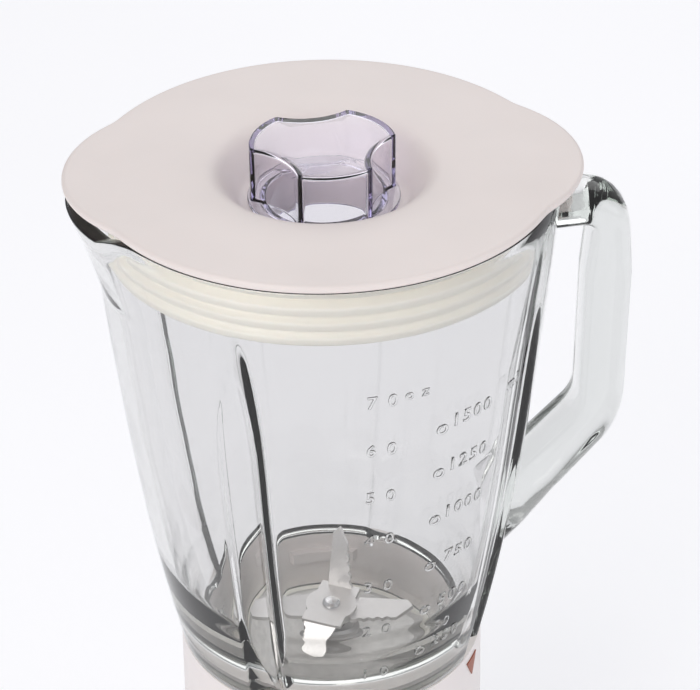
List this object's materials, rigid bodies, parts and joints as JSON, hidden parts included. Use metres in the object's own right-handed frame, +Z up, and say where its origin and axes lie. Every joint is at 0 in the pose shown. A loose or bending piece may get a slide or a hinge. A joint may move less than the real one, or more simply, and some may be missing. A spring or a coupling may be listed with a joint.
{
  "type": "countertop blender",
  "caption": "Countertop blender: motor base with speed knob, fluted glass jug with handle and spout, steel blades, lid and measuring cap.",
  "frame": {"origin": "centre of the foot plane, on the blade axis", "axes": "+Z up along the blade axis, +X towards the jug's handle, -X towards the spout, -Y front with the speed knob"},
  "size_m": [0.208, 0.208, 0.393],
  "materials": {
    "black_plastic": "moulded black plastic",
    "black_rubber": "black rubber",
    "blade_steel": "ground stainless steel",
    "board_green": "coated circuit board",
    "bracket_metal": "die-cast",
    "bronze": "sintered bronze",
    "cap_clear": "clear plastic with violet edges",
    "capacitor_yellow": "moulded case",
    "carbon": "pressed carbon",
    "collar_white": "satin moulded white plastic",
    "commutator_copper": "turned copper bars",
    "copper_wire": "enamelled copper wire",
    "dish_steel": "satin stainless steel",
    "fan_plastic": "moulded nylon",
    "glass_clear": "clear pressed glass with a slight green tint",
    "grey_plastic": "moulded grey plastic",
    "grey_rubber": "grey rubber",
    "housing_white": "satin moulded white plastic",
    "lamination": "stacked electrical steel",
    "lid_plastic": "fine matte moulded plastic, warm pale grey",
    "mark_red": "red-brown inlay",
    "seal_cream": "soft cream silicone",
    "shaft_steel": "ground steel",
    "zinc_steel": "zinc-plated steel"
  },
  "bodies": {
    "motor_base": {"base_housing": "housing_white", "base_plate": "grey_plastic", "rubber_feet": "black_rubber", "base_screws": "zinc_steel", "deck_seal": "grey_rubber", "cord_gland": "black_plastic", "knob_scale_ring": "grey_plastic", "speed_switch": "black_plastic", "circuit_board": "board_green", "suppressor_capacitor": "capacitor_yellow", "rectifier": "black_plastic", "interlock_switch": "black_plastic", "motor_stator": "lamination", "field_coils": "copper_wire", "motor_bracket_upper": "bracket_metal", "motor_bracket_lower": "bracket_metal", "upper_bearing": "bronze", "lower_bearing": "bronze", "motor_bolts": "zinc_steel", "motor_grommets": "black_rubber", "motor_screws": "zinc_steel", "brush_holders": "black_plastic", "carbon_brushes": "carbon"},
    "motor_rotor": {"rotor_shaft": "shaft_steel", "rotor_core": "lamination", "rotor_windings": "copper_wire", "commutator": "commutator_copper", "cooling_fan": "fan_plastic", "drive_coupling": "black_plastic"},
    "speed_knob": {"speed_knob": "housing_white", "knob_spindle": "grey_plastic", "knob_pointer": "mark_red"},
    "interlock_pin": {"interlock_pin": "grey_plastic", "interlock_spring": "shaft_steel"},
    "blade_unit": {"jug_collar": "collar_white", "collar_mark": "mark_red", "blade_dish": "dish_steel", "bowl_seal": "seal_cream", "bearing_housing": "dish_steel", "bearing_nut": "bronze", "blade_bushes": "bronze", "shaft_seal": "black_rubber"},
    "blade": {"blade_lower": "blade_steel", "blade_upper": "blade_steel", "blade_shaft": "shaft_steel", "blade_rivet": "shaft_steel", "driven_coupling": "black_plastic"},
    "glass_jug": {"jug_glass": "glass_clear"},
    "lid": {"lid_shell": "lid_plastic", "lid_seal": "seal_cream"},
    "measuring_cap": {"measuring_cap": "cap_clear"}
  },
  "joints": [
    {"name": "motor_spin", "type": "hinge", "parent": "motor_base", "child": "motor_rotor", "pos_m": [0, 0, 0.06], "axis": [0, 0, 1], "continuous": true},
    {"name": "knob_turn", "type": "hinge", "parent": "motor_base", "child": "speed_knob", "pos_m": [0, -0.09, 0.06], "axis": [0, -1, 0], "range_deg": [-100, 35]},
    {"name": "jug_lift", "type": "slide", "parent": "motor_base", "child": "blade_unit", "axis": [0, 0, 1], "range_m": [0, 0.06]},
    {"name": "pin_rise", "type": "slide", "parent": "motor_base", "child": "interlock_pin", "axis": [0, 0, 1], "range_m": [0, 0.003], "deforming": ["interlock_spring"]},
    {"name": "blade_spin", "type": "hinge", "parent": "blade_unit", "child": "blade", "pos_m": [0, 0, 0.19], "axis": [0, 0, 1], "continuous": true},
    {"name": "jug_unlock", "type": "hinge", "parent": "blade_unit", "child": "glass_jug", "pos_m": [0, 0, 0.18], "axis": [0, 0, 1], "range_deg": [0, 35]},
    {"name": "lid_lift", "type": "slide", "parent": "glass_jug", "child": "lid", "axis": [0, 0, 1], "range_m": [0, 0.08]},
    {"name": "cap_lift", "type": "slide", "parent": "lid", "child": "measuring_cap", "axis": [0, 0, 1], "range_m": [0, 0.04]}
  ],
  "couplings": [
    {"joint": "blade_spin", "follows": "motor_spin", "ratio": 1},
    {"joint": "pin_rise", "follows": "jug_lift", "ratio": 0.05}
  ]
}
